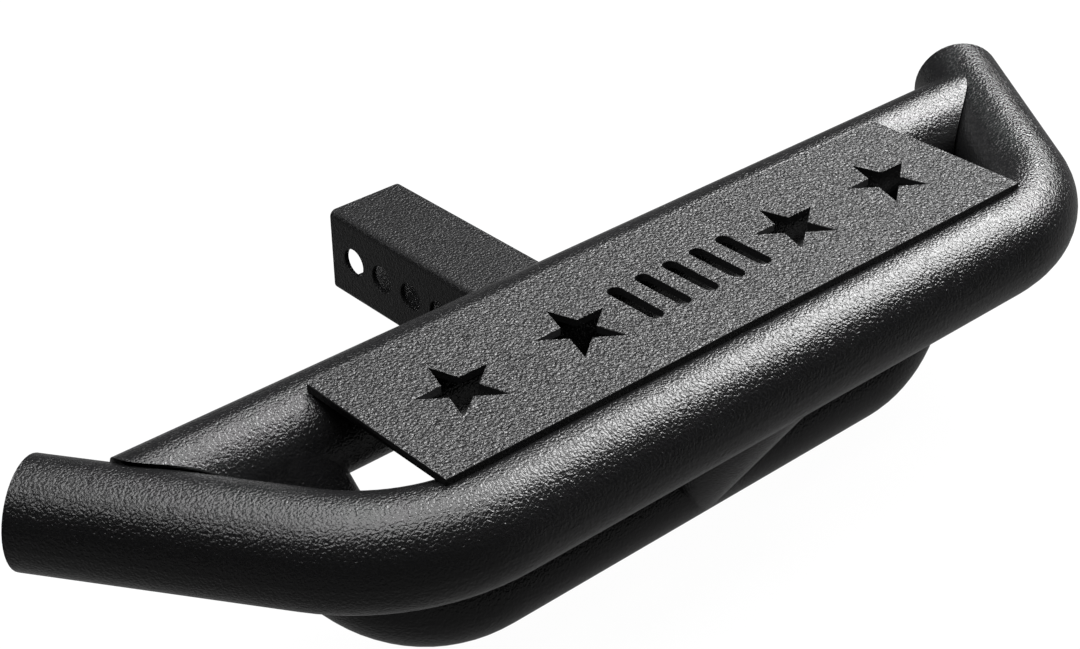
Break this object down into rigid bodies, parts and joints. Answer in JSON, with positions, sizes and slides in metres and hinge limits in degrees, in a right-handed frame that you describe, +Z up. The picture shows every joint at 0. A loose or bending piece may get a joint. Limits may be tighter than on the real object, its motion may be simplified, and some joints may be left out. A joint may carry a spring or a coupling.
{
  "type": "hitch receiver step",
  "caption": "Hitch receiver step: bent round-tube step bar with a flat cut-out tread plate, a lower hoop tube, and a square shank with a row of cross-pin holes.",
  "frame": {"origin": "centre of the first hitch-pin hole, on the shank's centreline", "axes": "+X along the hitch pin and the step bar, +Y along the shank towards the vehicle, +Z up out of the tread plate"},
  "size_m": [0.6584, 0.3335, 0.1396],
  "materials": {
    "black_powder_coat": "fine textured semi-gloss black powder coat on steel"
  },
  "bodies": {
    "root": {"main_tube": "black_powder_coat", "rear_cross_tube": "black_powder_coat", "lower_tube": "black_powder_coat", "neck_tube": "black_powder_coat", "receiver_shank": "black_powder_coat", "step_plate": "black_powder_coat", "end_disc_left": "black_powder_coat", "end_disc_right": "black_powder_coat", "plate_welds_front": "black_powder_coat", "plate_welds_rear": "black_powder_coat", "shank_saddle_welds": "black_powder_coat"}
  },
  "joints": []
}
